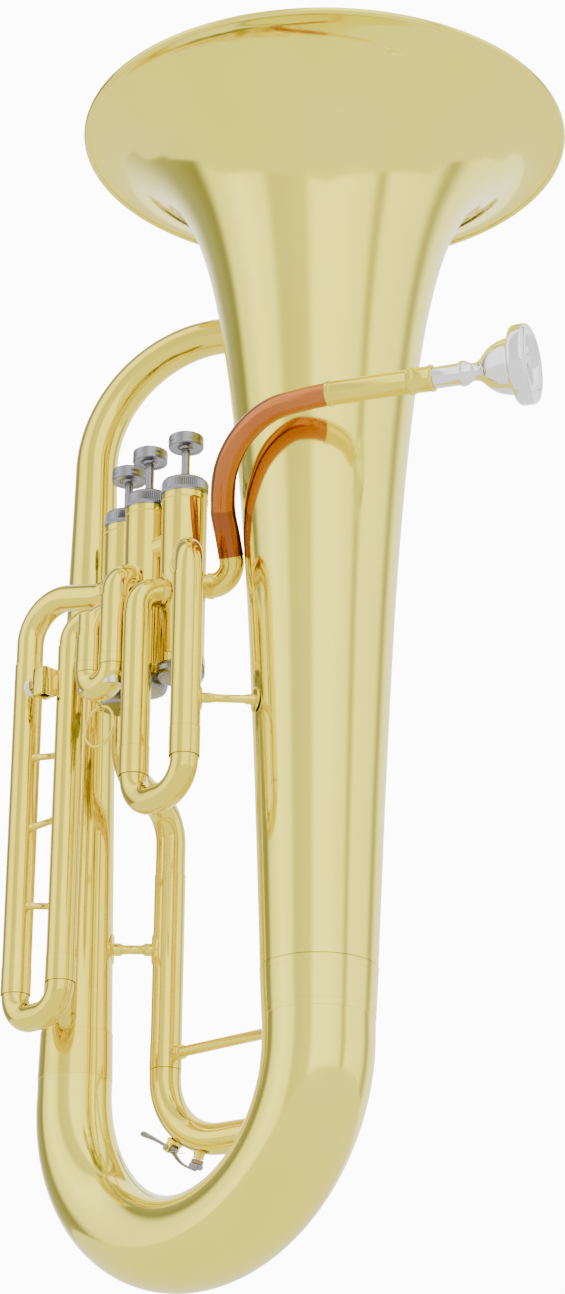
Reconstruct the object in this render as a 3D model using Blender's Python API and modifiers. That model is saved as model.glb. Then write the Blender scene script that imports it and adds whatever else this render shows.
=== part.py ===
"""Baritone horn with three top-action piston valves.

Run with: blender --background --python part.py

Frame: metres, +Z along the bell axis towards the bell mouth, +X from the main branch to
the bell, the valves on the -Y side. The origin is the lowest point of the bottom bow.
Every route and outline below is written in millimetres and scaled when it is built.
"""

import math

import bmesh
import bpy
from mathutils import Matrix, Vector

MM = 0.001
GAP = 0.3                      # kept between pieces that touch

# ---- driving dimensions, in millimetres ----
BELL_X = 80.5                  # bell axis
BRANCH_X = -80.5               # main branch axis
RIM_Z = 565.0                  # bell mouth
RIM_R = 120.0
BELL_WALL = 1.1
BELL_OUTLINE = [(3.2, 110.5), (7, 101.2), (13, 92.5), (22, 82.0), (35, 72.0), (55, 62.4), (85, 54.0),
                (125, 47.0), (180, 40.6), (250, 35.1), (340, 30.4), (430.2, 26.7)]   # depth, radius

FERRULE_TOP = 134.5
FERRULE_BOTTOM = 111.3
BOW_R = 0.5 * (BELL_X - BRANCH_X)
BOW_CENTRE_Z = 103.1
BOW_END_R = (25.5, 17.8)       # tube radius at the bell end and at the branch end
BRANCH_R = (17.2, 10.7)        # lower and upper end of the main branch
BRANCH_TOP = 432.0

TUNING_LEFT = (-49.5, 30.0)    # axes of the two legs of the main tuning slide
TUNING_RIGHT = (40.5, 46.0)
TUNING_LEG_TOP = 215.4
TUNING_LEG_BOTTOM = 117.4
TUNING_BOW_Z = 114.0
TUNING_BEND_R = 34.0
SLEEVE_R = 7.9
TUBE_R = 7.5
TUBE_WALL = 0.7

VALVES = ((22.5, -35.0), (-2.0, -35.6), (-25.2, -27.8))    # plan position of each valve's axis
CASING_R = 11.0
CASING_BORE = 10.2
CASING_Z = (286.5, 374.5)
CAP_R = 11.5
TOP_CAP_Z = (374.8, 383.5)
BOTTOM_CAP_Z = (280.0, 286.2)
PISTON_R = 9.8
PISTON_Z = (310.0, 374.2)
STEM_R = 2.15
STEM_FOOT = 374.5
BUTTON_R = 8.6
BUTTON_Z = (400.0, 407.0)
STUB_START = CASING_R + 0.6    # where a tube stops short of its casing's axis
STUB_SLIMMER = 0.7             # how much less the radius of a slide's stub is than its sleeve's

# each slide: a leg's plan position and the height of its stub, height of the open ends, radii of legs, bow and bend
SLIDE1 = {"right": (51.9, -59.6, 334.5), "left": (15.8, -57.0, 322.5), "end": 227.5,
          "tube": 7.0, "bow": 6.5, "bend": 14.8}
SLIDE2 = {"right": (-0.8, -57.0, 335.5), "left": (-16.9, -57.0, 319.4), "end": 287.0,
          "tube": 6.9, "bow": 6.9, "bend": 8.04}
SLIDE3 = {"right": (-53.7, -35.7, 330.0), "left": (-85.8, -35.3, 343.3), "end": 147.5,
          "tube": 7.1, "bow": 6.6, "bend": 13.0}
SLIDE3_RISE = 9.5              # how far the third slide's left stub climbs on its way out
SLIDE3_BRACES = {"top": (268.2, 261.9), "middle": (230.6, 230.6), "bottom": (192.5, 184.9)}    # left and right heights

EXIT_KNEE = (-38.5, -12.0)     # where the valve exit tube drops behind the third valve
EXIT_PORT_Z = 297.0

LEAD_PORT_Z = 328.0
LEAD_ROUTE = [(42.3, -18.9, 328.0), (47.4, -30.2, 348.8), (50.0, -36.1, 359.6), (60.2, -45.4, 371.0),
              (72.2, -50.8, 379.8), (86.2, -53.4, 386.1), (99.6, -52.7, 389.9), (113.1, -49.6, 390.6),
              (128.1, -45.0, 390.6)]
MOUTH_AXIS = Vector((0.9078, 0.4195, 0.0)).normalized()
MOUTH_START = Vector((128.1, -45.0, 390.6))
RECEIVER_LENGTH = 50.0

WATER_KEY_ANGLE = 50.0         # degrees round the bend, from the left leg
NIPPLE_ANGLE = 72.0            # the same for its nozzle
PIVOT_OUT = 46.0               # distance of the key's pin from the bend's centre

STEPS = 16                     # sides of a turned piece
TUBE_SIDES = 3                 # bevel resolution of a tube: 10 sides

MATERIALS = {
    "lacquered_brass": ((0.86, 0.68, 0.20), 1.0, 0.16),
    "rose_brass": ((0.68, 0.30, 0.10), 1.0, 0.18),
    "satin_nickel": ((0.48, 0.48, 0.50), 1.0, 0.42),
    "silver_plate": ((0.86, 0.86, 0.88), 1.0, 0.12),
    "monel": ((0.62, 0.60, 0.56), 1.0, 0.25),
    "spring_steel": ((0.45, 0.45, 0.47), 1.0, 0.35),
    "cork": ((0.45, 0.28, 0.14), 0.0, 0.85),
}


# ---- scene helpers ----
def clear_scene():
    for obj in list(bpy.data.objects):
        bpy.data.objects.remove(obj)


def new_collection(name):
    collection = bpy.data.collections.new(name)
    bpy.context.scene.collection.children.link(collection)
    return collection


def make_material(name, node):
    """One Principled material for a node, of the named finish."""
    colour, metallic, roughness = MATERIALS[name]
    material = bpy.data.materials.new(f"{name}_{node}")
    material.use_nodes = True
    shader = material.node_tree.nodes["Principled BSDF"]
    shader.inputs["Base Color"].default_value = (*colour, 1.0)
    shader.inputs["Metallic"].default_value = metallic
    shader.inputs["Roughness"].default_value = roughness
    material.diffuse_color = (*colour, 1.0)
    return material


def add_object(name, data, finish, location=(0, 0, 0)):
    """Links an object at a place given in millimetres, with its own material."""
    obj = bpy.data.objects.new(name, data)
    PARTS.objects.link(obj)
    obj.location = Vector(location) * MM
    obj.data.materials.append(make_material(finish, name))
    if obj.type == "MESH":
        obj.data.shade_smooth()
        obj.data.set_sharp_from_angle(angle=math.radians(35))
    return obj


def turn_to(obj, direction):
    """Points the object's local Z along a direction."""
    obj.rotation_mode = "QUATERNION"
    obj.rotation_quaternion = Vector((0, 0, 1)).rotation_difference(Vector(direction))


def curve_data(name, path, radii, wire_resolution, caps):
    """A bevelled poly curve along a path in millimetres, with a radius at each point."""
    curve = bpy.data.curves.new(name, "CURVE")
    curve.dimensions = "3D"
    curve.bevel_depth = MM
    curve.bevel_resolution = wire_resolution
    curve.use_fill_caps = caps
    spline = curve.splines.new("POLY")
    spline.points.add(len(path) - 1)
    for point, place, radius in zip(spline.points, path, radii):
        point.co = (*(Vector(place) * MM), 1.0)
        point.radius = radius
    return curve


def mesh_from_curve(name, curve):
    """The curve's surface as a welded mesh."""
    holder = bpy.data.objects.new(name + "_curve", curve)
    bpy.context.scene.collection.objects.link(holder)
    bpy.context.view_layer.update()
    evaluated = holder.evaluated_get(bpy.context.evaluated_depsgraph_get())
    mesh = bpy.data.meshes.new_from_object(evaluated)
    mesh.name = name
    bpy.data.objects.remove(holder)
    bpy.data.curves.remove(curve)
    work = bmesh.new()
    work.from_mesh(mesh)
    bmesh.ops.remove_doubles(work, verts=work.verts, dist=1e-6)
    work.to_mesh(mesh)
    work.free()
    return mesh


def tube(name, path, radii, finish="lacquered_brass", wall=TUBE_WALL, origin=(0, 0, 0), sides=TUBE_SIDES):
    """An open-ended tube with a wall, along a path in millimetres."""
    if not hasattr(radii, "__len__"):
        radii = [radii] * len(path)
    local = [Vector(place) - Vector(origin) for place in path]
    mesh = mesh_from_curve(name, curve_data(name, local, radii, sides, caps=False))
    obj = add_object(name, mesh, finish, origin)
    shell = obj.modifiers.new("wall", "SOLIDIFY")
    shell.thickness = wall * MM
    shell.offset = -1.0
    return obj


def turned(name, outline, finish, location=(0, 0, 0), axis=None, steps=STEPS):
    """A turned piece: the outline is a closed run of (radius, height) from the top of its outer side down."""
    mesh = bpy.data.meshes.new(name)
    points = [(radius * MM, 0.0, height * MM) for radius, height in outline]
    edges = [(i, i + 1) for i in range(len(points) - 1)]
    on_axis = outline[0][0] == 0 and outline[-1][0] == 0
    if not on_axis:
        edges.append((len(points) - 1, 0))
    mesh.from_pydata(points, edges, [])
    obj = add_object(name, mesh, finish, location)
    screw = obj.modifiers.new("turn", "SCREW")
    screw.steps = steps
    screw.render_steps = steps
    screw.use_merge_vertices = True
    screw.merge_threshold = 0.00001
    screw.use_smooth_shade = True
    if axis is not None:
        turn_to(obj, axis)
    return obj


def ring_outline(outer_top, outer_bottom, wall, top, bottom):
    """Closed outline of a straight or conical sleeve."""
    return [(outer_top, top), (outer_bottom, bottom), (outer_bottom - wall, bottom), (outer_top - wall, top)]


def cut(obj, cutter_mesh, location, direction=None):
    """Takes a hidden cutter out of an object."""
    cutter = bpy.data.objects.new(f"cut_{obj.name}_{len(obj.modifiers)}", cutter_mesh)
    CUTTERS.objects.link(cutter)
    cutter.location = Vector(location) * MM
    if direction is not None:
        turn_to(cutter, direction)
    cutter.hide_render = True
    cutter.display_type = "WIRE"
    boolean = obj.modifiers.new("cut", "BOOLEAN")
    boolean.operation = "DIFFERENCE"
    boolean.object = cutter


def cylinder_mesh(name, radius, length, sides=16, base_at_zero=False):
    """A capped cylinder along Z, in millimetres."""
    mesh = bpy.data.meshes.new(name)
    work = bmesh.new()
    bmesh.ops.create_cone(work, cap_ends=True, segments=sides, radius1=radius * MM, radius2=radius * MM,
                          depth=length * MM)
    if base_at_zero:
        bmesh.ops.translate(work, verts=work.verts, vec=(0, 0, 0.5 * length * MM))
    work.to_mesh(mesh)
    work.free()
    return mesh


def box_mesh(name, size):
    """A box about the origin, in millimetres."""
    mesh = bpy.data.meshes.new(name)
    work = bmesh.new()
    bmesh.ops.create_cube(work, size=1.0, matrix=Matrix.Diagonal((*(Vector(size) * MM), 1.0)))
    work.to_mesh(mesh)
    work.free()
    return mesh


def placed(mesh, rotation):
    """The mesh turned about its own origin."""
    mesh.transform(rotation.to_matrix().to_4x4())
    return mesh


# ---- routes ----
def rounded_path(corners, radii, steps=6):
    """A route through straight runs whose corners are arcs of the given radii."""
    points = [Vector(corner) for corner in corners]
    route = [points[0]]
    for index, radius in enumerate(radii, start=1):
        corner = points[index]
        back = points[index - 1] - corner
        ahead = points[index + 1] - corner
        half = 0.5 * back.angle(ahead)
        reach = min(radius / math.tan(half), 0.98 * back.length, 0.98 * ahead.length)
        radius = reach * math.tan(half)
        centre = corner + (back.normalized() + ahead.normalized()).normalized() * (radius / math.sin(half))
        start = (corner + back.normalized() * reach - centre).normalized()
        end = (corner + ahead.normalized() * reach - centre).normalized()
        for step in range(steps + 1):
            route.append(centre + start.slerp(end, step / steps) * radius)
    route.append(points[-1])
    return route


def smooth_route(points, steps=2):
    """A smooth curve through every point (Catmull-Rom)."""
    knots = [Vector(p) for p in points]
    knots = [2 * knots[0] - knots[1]] + knots + [2 * knots[-1] - knots[-2]]
    route = []
    for a, b, c, d in zip(knots, knots[1:], knots[2:], knots[3:]):
        for step in range(steps):
            t = step / steps
            route.append(0.5 * (2 * b + (c - a) * t + (2 * a - 5 * b + 4 * c - d) * t * t
                                + (3 * b - a - 3 * c + d) * t ** 3))
    route.append(knots[-2])
    return route


def half_circle(start, end, height, steps, up):
    """Half circle from start to end (plan positions) at a height, bulging up or down."""
    start = Vector((*start, height))
    end = Vector((*end, height))
    centre = 0.5 * (start + end)
    reach = 0.5 * (start - end)
    lift = Vector((0, 0, reach.length if up else -reach.length))
    return [centre + reach * math.cos(math.pi * i / steps) + lift * math.sin(math.pi * i / steps)
            for i in range(steps + 1)]


def taper(start, end, count, power=1.0):
    return [start + (end - start) * (i / (count - 1)) ** power for i in range(count)]


def port_direction(valve, target):
    """Level direction from a valve's axis towards a point in plan."""
    return Vector((target[0] - VALVES[valve][0], target[1] - VALVES[valve][1], 0.0)).normalized()


# ---- large tubing ----
def bell():
    outer = [(RIM_R - 0.6, 0.0), (RIM_R, 1.4), (RIM_R - 0.8, 2.9)] + [(r, d) for d, r in BELL_OUTLINE]
    outer = [(radius, RIM_Z - depth) for radius, depth in outer]
    inner = []
    flare = [(r, RIM_Z - d) for d, r in BELL_OUTLINE]
    for index, (radius, height) in enumerate(flare):
        before = Vector(flare[max(index - 1, 0)])
        after = Vector(flare[min(index + 1, len(flare) - 1)])
        along = (after - before).normalized()
        inward = Vector((along.y, -along.x))
        inner.append((radius + inward.x * BELL_WALL, height + inward.y * BELL_WALL))
    inner[-1] = (flare[-1][0] - BELL_WALL, flare[-1][1])
    inner.insert(0, (RIM_R - 2.6, RIM_Z))
    turned("bell", outer + inner[::-1], "lacquered_brass", (BELL_X, 0, 0), steps=32)


def bell_side():
    bell()
    turned("bell_ferrule", ring_outline(26.8, 25.8, 1.3, FERRULE_TOP, FERRULE_BOTTOM), "lacquered_brass",
           (BELL_X, 0, 0), steps=20)
    turned("branch_ferrule", ring_outline(18.1, 18.3, 1.3, FERRULE_TOP, FERRULE_BOTTOM), "lacquered_brass",
           (BRANCH_X, 0, 0))
    arc = half_circle((BELL_X, 0), (BRANCH_X, 0), BOW_CENTRE_Z, 16, up=False)
    bow = [Vector((BELL_X, 0, FERRULE_BOTTOM - GAP))] + arc + [Vector((BRANCH_X, 0, FERRULE_BOTTOM - GAP))]
    tube("bottom_bow", bow, taper(*BOW_END_R, len(bow), power=1.35), wall=1.0, sides=5)


def branch_side():
    branch = [(BRANCH_X, 0, FERRULE_TOP + GAP), (BRANCH_X, 0, BRANCH_TOP - GAP)]
    tube("main_branch", branch, BRANCH_R, wall=0.8, sides=5)
    arc = half_circle((BRANCH_X, 0), TUNING_RIGHT, BRANCH_TOP + 3.0, 10, up=True)
    over = [Vector((BRANCH_X, 0, BRANCH_TOP))] + arc + [Vector((*TUNING_RIGHT, BRANCH_TOP))]
    tube("top_bow", over, taper(BRANCH_R[1], TUBE_R, len(over)), sides=4)
    rear = [(*TUNING_RIGHT, BRANCH_TOP - GAP), (*TUNING_RIGHT, TUNING_LEG_TOP + GAP)]
    tube("rear_tube", rear, TUBE_R)


# ---- main tuning slide ----
def slide_route(left, right, bend_z, inner_top, sleeve_end, bend_r, bow_r):
    """Route and radii of a pull-out slide: thin inner legs, then a bow as wide as its sleeves."""
    floor = bend_z - bend_r
    corners = [(*left, sleeve_end - GAP), (*left, floor), (*right, floor), (*right, sleeve_end - GAP)]
    bow = rounded_path(corners, [bend_r, bend_r], steps=5)
    step = Vector((0, 0, 0.2))
    route = [Vector((*left, inner_top)), bow[0] + step] + bow + [bow[-1] + step, Vector((*right, inner_top))]
    inner = [0.95 * bow_r - 0.95] * 2
    radii = inner + [bow_r] * len(bow) + inner
    return route, radii


def tuning_slide():
    for side, axis in (("left", TUNING_LEFT), ("right", TUNING_RIGHT)):
        tube(f"tuning_sleeve_{side}", [(*axis, TUNING_LEG_TOP), (*axis, TUNING_LEG_BOTTOM)], SLEEVE_R)
    route, radii = slide_route(TUNING_LEFT, TUNING_RIGHT, TUNING_BOW_Z, 196.0, TUNING_LEG_BOTTOM,
                               TUNING_BEND_R, SLEEVE_R)
    tube("tuning_slide", route, radii, origin=(*TUNING_LEFT, TUNING_LEG_BOTTOM))


def valve_exit():
    away = port_direction(2, EXIT_KNEE)
    start = Vector((*VALVES[2], EXIT_PORT_Z)) + away * STUB_START
    corners = [start, (*EXIT_KNEE, EXIT_PORT_Z), (*EXIT_KNEE, 255.0), (*TUNING_LEFT, 246.0),
               (*TUNING_LEFT, TUNING_LEG_TOP + GAP)]
    tube("valve_exit_tube", rounded_path(corners, [12.0, 18.0, 18.0], steps=4), 7.3)


def bend_frame():
    """Directions of the tuning slide's plane and the centre of its left bend."""
    along = Vector((TUNING_RIGHT[0] - TUNING_LEFT[0], TUNING_RIGHT[1] - TUNING_LEFT[1], 0)).normalized()
    centre = Vector((*TUNING_LEFT, TUNING_BOW_Z)) + along * TUNING_BEND_R
    across = Vector((along.y, -along.x, 0))
    return centre, along, across


def bend_point(angle, distance, shift=0.0):
    """A point round the left bend: degrees from the leg, distance from the bend's centre."""
    centre, along, across = bend_frame()
    turn = math.radians(angle)
    outward = -along * math.cos(turn) - Vector((0, 0, math.sin(turn)))
    return centre + outward * distance + across * shift, outward


def water_key():
    bow_surface = TUNING_BEND_R + SLEEVE_R + GAP
    _, _, across = bend_frame()
    pivot, _ = bend_point(WATER_KEY_ANGLE, PIVOT_OUT)
    foot, foot_out = bend_point(WATER_KEY_ANGLE, bow_surface)
    nipple, nipple_out = bend_point(NIPPLE_ANGLE, bow_surface)
    side_on = Matrix((across, foot_out.cross(across), foot_out)).transposed().to_quaternion()
    saddle = add_object("water_key_saddle", placed(box_mesh("saddle", (8.4, 4.2, 6.0)), side_on), "lacquered_brass",
                        foot + foot_out * 3.0)
    cut(saddle, placed(box_mesh("channel", (5.2, 8.0, 8.0)), side_on), foot + foot_out * 5.0)
    cut(saddle, cylinder_mesh("pin_hole", 1.05, 12.0, 10), pivot, across)
    pin = add_object("water_key_pin", cylinder_mesh("water_key_pin", 0.75, 9.6, 10), "satin_nickel", pivot)
    turn_to(pin, across)
    nozzle = add_object("water_key_nozzle", cylinder_mesh("nozzle", 2.4, 2.6, 14), "lacquered_brass",
                        nipple + nipple_out * 1.3)
    turn_to(nozzle, nipple_out)
    cut(nozzle, cylinder_mesh("nozzle_bore", 1.3, 8.0, 10), nipple, nipple_out)

    lever_stops = [(NIPPLE_ANGLE, 3.4), (60.0, 2.6), (WATER_KEY_ANGLE, 0.0), (40.0, 2.2), (30.0, 6.4)]
    stops = [bend_point(angle, PIVOT_OUT + lift)[0] - pivot for angle, lift in lever_stops]
    bar = curve_data("lever", smooth_route(stops, 2), [1.5, 1.6, 1.7, 1.9, 2.0, 1.9, 1.7, 1.7, 1.5], 2, caps=True)
    lever = add_object("water_key_lever", mesh_from_curve("water_key_lever", bar), "satin_nickel", pivot)
    cut(lever, cylinder_mesh("lever_hole", 1.05, 12.0, 10), pivot, across)
    cork = add_object("water_key_cork", cylinder_mesh("water_key_cork", 3.0, 2.0, 14), "cork",
                      nipple + nipple_out * (2.6 + GAP + 1.0))
    turn_to(cork, nipple_out)


# ---- valves ----
def coil(radius, bottom, top, turns, per_turn=8):
    count = turns * per_turn
    return [(radius * math.cos(2 * math.pi * i / per_turn), radius * math.sin(2 * math.pi * i / per_turn),
             bottom + (top - bottom) * i / count) for i in range(count + 1)]


def valve_ports():
    """For each valve, the level direction and height of every tube that enters its casing."""
    ports = [[], [], []]
    ports[0].append((port_direction(0, LEAD_ROUTE[0]), LEAD_PORT_Z))
    for valve, slide in enumerate((SLIDE1, SLIDE2, SLIDE3)):
        for side in ("right", "left"):
            ports[valve].append((port_direction(valve, slide[side]), slide[side][2]))
    ports[2].append((port_direction(2, EXIT_KNEE), EXIT_PORT_Z))
    return ports


def valve(index):
    number = index + 1
    x, y = VALVES[index]
    casing = turned(f"valve{number}_casing", ring_outline(CASING_R, CASING_R, CASING_R - CASING_BORE,
                                                          CASING_Z[1], CASING_Z[0]), "lacquered_brass", (x, y, 0))
    for direction, height in valve_ports()[index]:
        middle = Vector((x, y, height)) + direction * CASING_R
        cut(casing, cylinder_mesh("port", 5.6, 6.0, 12), middle, direction)

    middle_z = 0.5 * (PISTON_Z[0] + PISTON_Z[1])
    half = 0.5 * (PISTON_Z[1] - PISTON_Z[0])
    piston = turned(f"valve{number}_piston", [(0, half), (PISTON_R, half), (PISTON_R, -half), (0, -half)],
                    "monel", (x, y, middle_z))
    cut(piston, cylinder_mesh("passage", 5.6, 30.0, 12), (x, y, 320.5), (1, 0.25, 0))
    cut(piston, cylinder_mesh("passage", 5.6, 30.0, 12), (x, y, 336.0), (0.35, 1, 0))

    low, high = BUTTON_Z
    turned(f"valve{number}_button", [(0, high - 1.0), (BUTTON_R - 2.2, high - 0.9), (BUTTON_R - 1.2, high),
                                     (BUTTON_R - 0.4, high), (BUTTON_R, high - 0.6), (BUTTON_R, low + 1.2),
                                     (BUTTON_R - 0.9, low + 0.2), (BUTTON_R - 1.6, low + 1.4), (3.2, low + 0.6),
                                     (3.0, low), (STEM_R, low), (STEM_R, STEM_FOOT), (0, STEM_FOOT)],
           "satin_nickel", (x, y, 0))
    low, high = TOP_CAP_Z
    turned(f"valve{number}_top_cap", [(CAP_R - 2.0, high), (CAP_R - 0.5, high - 0.5), (CAP_R, high - 1.6),
                                      (CAP_R, low), (2.8, low), (2.8, high)], "satin_nickel", (x, y, 0))
    low, high = BOTTOM_CAP_Z
    turned(f"valve{number}_bottom_cap", [(CAP_R, high), (CAP_R, low + 1.6), (CAP_R - 0.8, low + 0.6),
                                         (CAP_R - 2.6, low), (1.6, low), (1.6, high)], "satin_nickel", (x, y, 0))
    wire = coil(5.6, BOTTOM_CAP_Z[1] + 1.0, PISTON_Z[0] - 1.0, 6)
    mesh = mesh_from_curve("spring", curve_data("spring", wire, [0.45] * len(wire), 0, caps=True))
    add_object(f"valve{number}_spring", mesh, "spring_steel", (x, y, 0))


def knuckles():
    """The short cross tubes between neighbouring casings, shaped to the casings."""
    for pair, height in ((0, 352.0), (1, 308.0)):
        ends = [Vector((*VALVES[index], height)) for index in (pair, pair + 1)]
        across = ends[1] - ends[0]
        middle = 0.5 * (ends[0] + ends[1])
        knuckle = add_object(f"valve_knuckle_{pair + 1}_{pair + 2}",
                             cylinder_mesh("knuckle", 5.8, 0.6 * across.length, 16), "lacquered_brass", middle)
        turn_to(knuckle, across)
        for end in ends:
            cut(knuckle, cylinder_mesh("clearance", CASING_R + 0.35, 40.0, 48), end)


# ---- valve slides ----
def valve_slide(number, slide, bend_radii, inner_top, sidestep=0.0, rise=0.0):
    """Two legs out of a valve, each a slim stub that turns down into a wider sleeve, and the pull-out bow."""
    leg_r = slide["tube"]
    for side, shift, climb in (("right", 0.0, 0.0), ("left", sidestep, rise)):
        x, y, stub_z = slide[side]
        axis = Vector((VALVES[number - 1][0] - shift, VALVES[number - 1][1], stub_z))
        away = (Vector((x, y, stub_z)) - axis).normalized()
        corners = [axis + away * STUB_START, (x, y, stub_z + climb), (x, y, slide["end"] + GAP)]
        radii = [bend_radii[side]]
        if climb:
            corners.insert(1, axis + away * (STUB_START + 5.0))
            radii.insert(0, 12.0)
        route = rounded_path(corners, radii, steps=4)
        sleeve_top = route[-2] - Vector((0, 0, 1.0))
        route[-1:] = [sleeve_top, sleeve_top - Vector((0, 0, 0.3)), route[-1]]
        radii = [leg_r - STUB_SLIMMER] * (len(route) - 2) + [leg_r] * 2
        tube(f"slide{number}_{side}_leg", route, radii)
    left, right = slide["left"][:2], slide["right"][:2]
    route, radii = slide_route(left, right, slide["end"] - GAP - 0.1, inner_top, slide["end"], slide["bend"],
                               slide["bow"])
    return tube(f"slide{number}_bow", route, radii, origin=(*right, slide["end"]), wall=0.5)


def pull_ring():
    middle_x = 0.5 * (SLIDE2["left"][0] + SLIDE2["right"][0])
    y = SLIDE2["left"][1]
    low = SLIDE2["end"] - 0.5 * abs(SLIDE2["left"][0] - SLIDE2["right"][0]) - SLIDE2["tube"] - 0.4
    hang_z = low - 3.2
    hang = Vector((middle_x, y, hang_z))
    ring_r = 9.8
    count = 18
    turn = [2 * math.pi * i / count for i in range(count)]
    circle = [(ring_r * math.sin(a), 0.0, ring_r * math.cos(a) - ring_r) for a in turn]
    closed = curve_data("pull_ring", circle, [0.75] * count, 1, caps=False)
    closed.splines[0].use_cyclic_u = True
    add_object("slide2_pull_ring", mesh_from_curve("slide2_pull_ring", closed), "lacquered_brass", hang)
    turn = [2 * math.pi * i / 10 for i in range(10)]
    loop = [(0.0, 2.0 * math.sin(a), 2.0 * math.cos(a)) for a in turn]
    closed = curve_data("eye", loop, [0.7] * 10, 1, caps=False)
    closed.splines[0].use_cyclic_u = True
    add_object("slide2_ring_eye", mesh_from_curve("slide2_ring_eye", closed), "lacquered_brass", hang)


def slides():
    valve_slide(1, SLIDE1, {"right": 14.0, "left": 10.6}, 276.0)
    valve_slide(2, SLIDE2, {"right": 10.6, "left": 12.0}, 302.0, sidestep=1.5)
    valve_slide(3, SLIDE3, {"right": 10.0, "left": 20.0}, 225.0, rise=SLIDE3_RISE)
    pull_ring()
    for place, (left_z, right_z) in SLIDE3_BRACES.items():
        left, right = Vector((*SLIDE3["left"][:2], left_z)), Vector((*SLIDE3["right"][:2], right_z))
        across = right - left
        slope = abs(across.z) / across.length
        inset = (SLIDE3["tube"] + GAP + 0.1 + 2.2 * slope) / math.sqrt(1 - slope * slope)
        rod = spool_mesh("rod", across.length - 2 * inset, 1.5, 2.2, 2.2, 0.8)
        turn_to(add_object(f"slide3_brace_{place}", rod, "lacquered_brass", 0.5 * (left + right)), across)


# ---- leadpipe and mouthpiece ----
def leadpipe():
    away = port_direction(0, LEAD_ROUTE[0])
    start = Vector((*VALVES[0], LEAD_PORT_Z)) + away * STUB_START
    knee, above = Vector(LEAD_ROUTE[0]), Vector(LEAD_ROUTE[1])
    climb = (above - knee).normalized()
    joint = knee + climb * 14.0
    tube("leadpipe_elbow", rounded_path([start, knee, joint], [11.0], steps=4), 5.9)
    bend = smooth_route([joint] + LEAD_ROUTE[1:])
    sleeve_top = 4
    seam, ahead = bend[sleeve_top], (bend[sleeve_top + 1] - bend[sleeve_top - 1]).normalized()
    sleeve = [joint + climb * GAP] + bend[1:sleeve_top] + [seam - ahead * 0.6, seam]
    tube("leadpipe_sleeve", sleeve, 5.8, "rose_brass")
    copper = [seam + ahead * GAP, seam + ahead * 0.9] + bend[sleeve_top + 1:]
    tube("leadpipe_bend", copper, taper(6.0, 5.4, len(copper)), "rose_brass", wall=0.6)


def mouth_end():
    length = RECEIVER_LENGTH
    receiver = [(6.3, length), (6.3, length - 1.2), (5.9, length - 2.0), (5.9, length - 9.0), (6.4, length - 10.0),
                (6.4, length - 12.0), (5.6, length - 12.6), (5.3, 0.9), (4.7, 0.9), (4.9, length - 21.0),
                (5.2, length - 20.0), (5.4, length)]
    turned("mouthpiece_receiver", receiver, "lacquered_brass", MOUTH_START, MOUTH_AXIS)
    cup_outer = [(18.4, 46.2), (18.6, 45.4), (18.6, 39.6), (18.0, 38.4), (13.6, 37.8), (13.0, 36.6), (12.6, 33.0),
                 (11.2, 28.6), (8.4, 25.2), (5.2, 22.6), (4.1, 20.6), (4.1, 18.4), (5.0, 16.4), (5.9, 14.2),
                 (5.9, 12.6), (5.3, 12.0), (5.15, 1.2), (4.9, 0.2), (4.6, -17.0)]
    cup_inner = [(3.9, -17.0), (3.0, 10.0), (2.7, 19.0), (3.2, 24.0), (6.4, 28.0), (9.6, 33.0), (11.6, 38.0),
                 (12.6, 43.0), (13.6, 46.0), (15.6, 46.9)]
    turned("mouthpiece", cup_outer + cup_inner, "silver_plate", MOUTH_START + MOUTH_AXIS * length, MOUTH_AXIS)


# ---- braces and fittings ----
def spool_mesh(name, length, waist_r, end_r, flange_r, flange_t, sides=12):
    """A brace rod along Z: a slim waist, thicker ends and a flange at each end, made by joining rings."""
    half = 0.5 * length
    end_run = min(0.22 * length, 7.0)
    profile = [(flange_r, half), (flange_r, half - flange_t), (end_r, half - flange_t), (end_r, half - end_run),
               (waist_r, half - end_run - 0.8)]
    profile += [(radius, -height) for radius, height in reversed(profile)]
    mesh = bpy.data.meshes.new(name)
    work = bmesh.new()
    rings = []
    for radius, height in profile:
        ring = [work.verts.new((radius * MM * math.cos(2 * math.pi * i / sides),
                                radius * MM * math.sin(2 * math.pi * i / sides), height * MM)) for i in range(sides)]
        rings.append(ring)
    for above, below in zip(rings, rings[1:]):
        for i in range(sides):
            work.faces.new((above[i], below[i], below[(i + 1) % sides], above[(i + 1) % sides]))
    work.faces.new(rings[0])
    work.faces.new(rings[-1][::-1])
    bmesh.ops.recalc_face_normals(work, faces=work.faces)
    work.to_mesh(mesh)
    work.free()
    return mesh


def brace(name, start, start_r, end, end_r, waist_r=1.9, end_run_r=2.6, flange_r=4.6):
    """A flanged brace between two tubes: centres of the tubes, and the radius to stop short of at each."""
    start, end = Vector(start), Vector(end)
    along = (end - start).normalized()
    foot = start + along * (start_r + 0.6)
    head = end - along * (end_r + 0.6)
    rod = spool_mesh(name, (head - foot).length, waist_r, end_run_r, flange_r, 0.8)
    turn_to(add_object(name, rod, "lacquered_brass", 0.5 * (foot + head)), along)


def fittings():
    brace("brace_branch_tuning", (BRANCH_X, 0, 177.6), 16.6, (*TUNING_LEFT, 177.6), SLEEVE_R, 2.3, 3.2, 6.8)
    brace("brace_bell_tuning", (*TUNING_LEFT, 125.0), SLEEVE_R, (59.6, 17.6, 117.5), 4.2, 2.7, 2.7, 3.6)
    brace("brace_bell_slide1", (*SLIDE1["right"][:2], 256.5), SLIDE1["tube"], (66.6, -27.8, 260.5), 1.8, 1.9, 2.5, 5.4)
    lyre_holder()


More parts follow.
